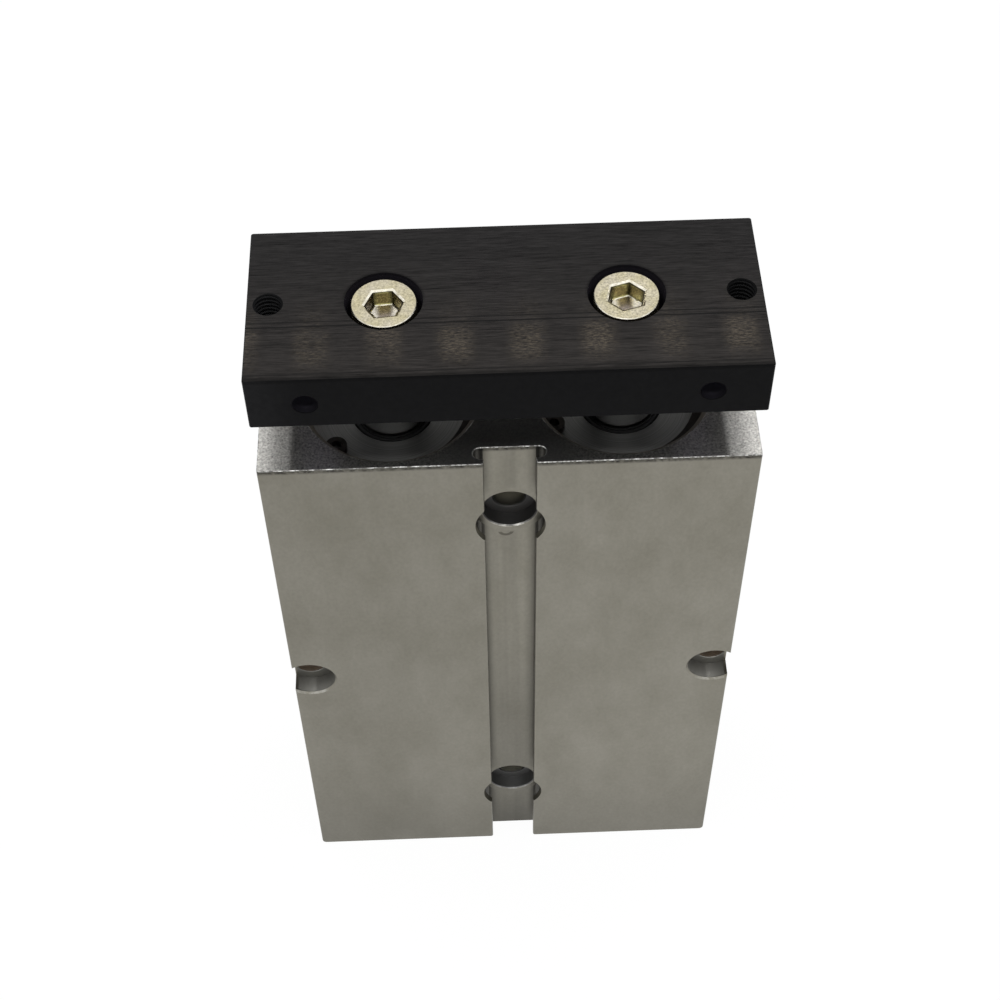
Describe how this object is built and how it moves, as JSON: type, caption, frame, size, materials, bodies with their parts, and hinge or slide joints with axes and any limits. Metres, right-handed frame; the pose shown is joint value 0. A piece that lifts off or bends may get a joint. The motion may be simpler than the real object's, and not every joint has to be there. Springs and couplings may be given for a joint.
{
  "type": "twin rod pneumatic cylinder",
  "caption": "Compact pneumatic cylinder with two parallel rods in one flat extruded barrel, tied by a black end plate that slides out without turning.",
  "frame": {"origin": "middle of the barrel's rear end face, which it stands on", "axes": "+Z along the rods, from the rear end to the end plate; X across the wide faces through both rods; the wide face shown in the picture looks to -Y; the air ports are on the +X side"},
  "size_m": [0.08, 0.032, 0.145],
  "materials": {
    "barrel_aluminium": "satin hard-anodised extrusion, blasted end faces",
    "plate_black": "black oxide over milled steel",
    "screw_zinc": "pale yellow zinc plate",
    "rod_chrome": "ground hard chrome",
    "turned_aluminium": "turned, clear anodised",
    "spring_steel": "dark phosphated spring steel",
    "nut_steel": "bright zinc plate",
    "bush_bronze": "dry bearing bronze",
    "seal_rubber": "nitrile rubber, matt",
    "bumper_urethane": "moulded urethane",
    "wear_ring_plastic": "filled bearing plastic",
    "magnet_ferrite": "bonded ferrite"
  },
  "bodies": {
    "barrel": {"barrel": "barrel_aluminium", "left_gland": "turned_aluminium", "left_gland_o_ring": "seal_rubber", "left_rod_bush": "bush_bronze", "left_rod_seal": "seal_rubber", "left_front_bumper": "bumper_urethane", "left_front_circlip": "spring_steel", "left_rear_cover": "turned_aluminium", "left_rear_cover_o_ring": "seal_rubber", "left_rear_bumper": "bumper_urethane", "left_rear_circlip": "spring_steel", "right_gland": "turned_aluminium", "right_gland_o_ring": "seal_rubber", "right_rod_bush": "bush_bronze", "right_rod_seal": "seal_rubber", "right_front_bumper": "bumper_urethane", "right_front_circlip": "spring_steel", "right_rear_cover": "turned_aluminium", "right_rear_cover_o_ring": "seal_rubber", "right_rear_bumper": "bumper_urethane", "right_rear_circlip": "spring_steel"},
    "carriage": {"end_plate": "plate_black", "left_piston_rod": "rod_chrome", "left_piston_front": "turned_aluminium", "left_piston_rear": "turned_aluminium", "left_piston_front_seal": "seal_rubber", "left_piston_rear_seal": "seal_rubber", "left_magnet": "magnet_ferrite", "left_wear_ring": "wear_ring_plastic", "left_piston_nut": "nut_steel", "left_plate_screw": "screw_zinc", "right_piston_rod": "rod_chrome", "right_piston_front": "turned_aluminium", "right_piston_rear": "turned_aluminium", "right_piston_front_seal": "seal_rubber", "right_piston_rear_seal": "seal_rubber", "right_magnet": "magnet_ferrite", "right_wear_ring": "wear_ring_plastic", "right_piston_nut": "nut_steel", "right_plate_screw": "screw_zinc"}
  },
  "joints": [
    {"name": "rod_slide", "type": "slide", "parent": "barrel", "child": "carriage", "axis": [0, 0, 1], "range_m": [0, 0.06]}
  ]
}
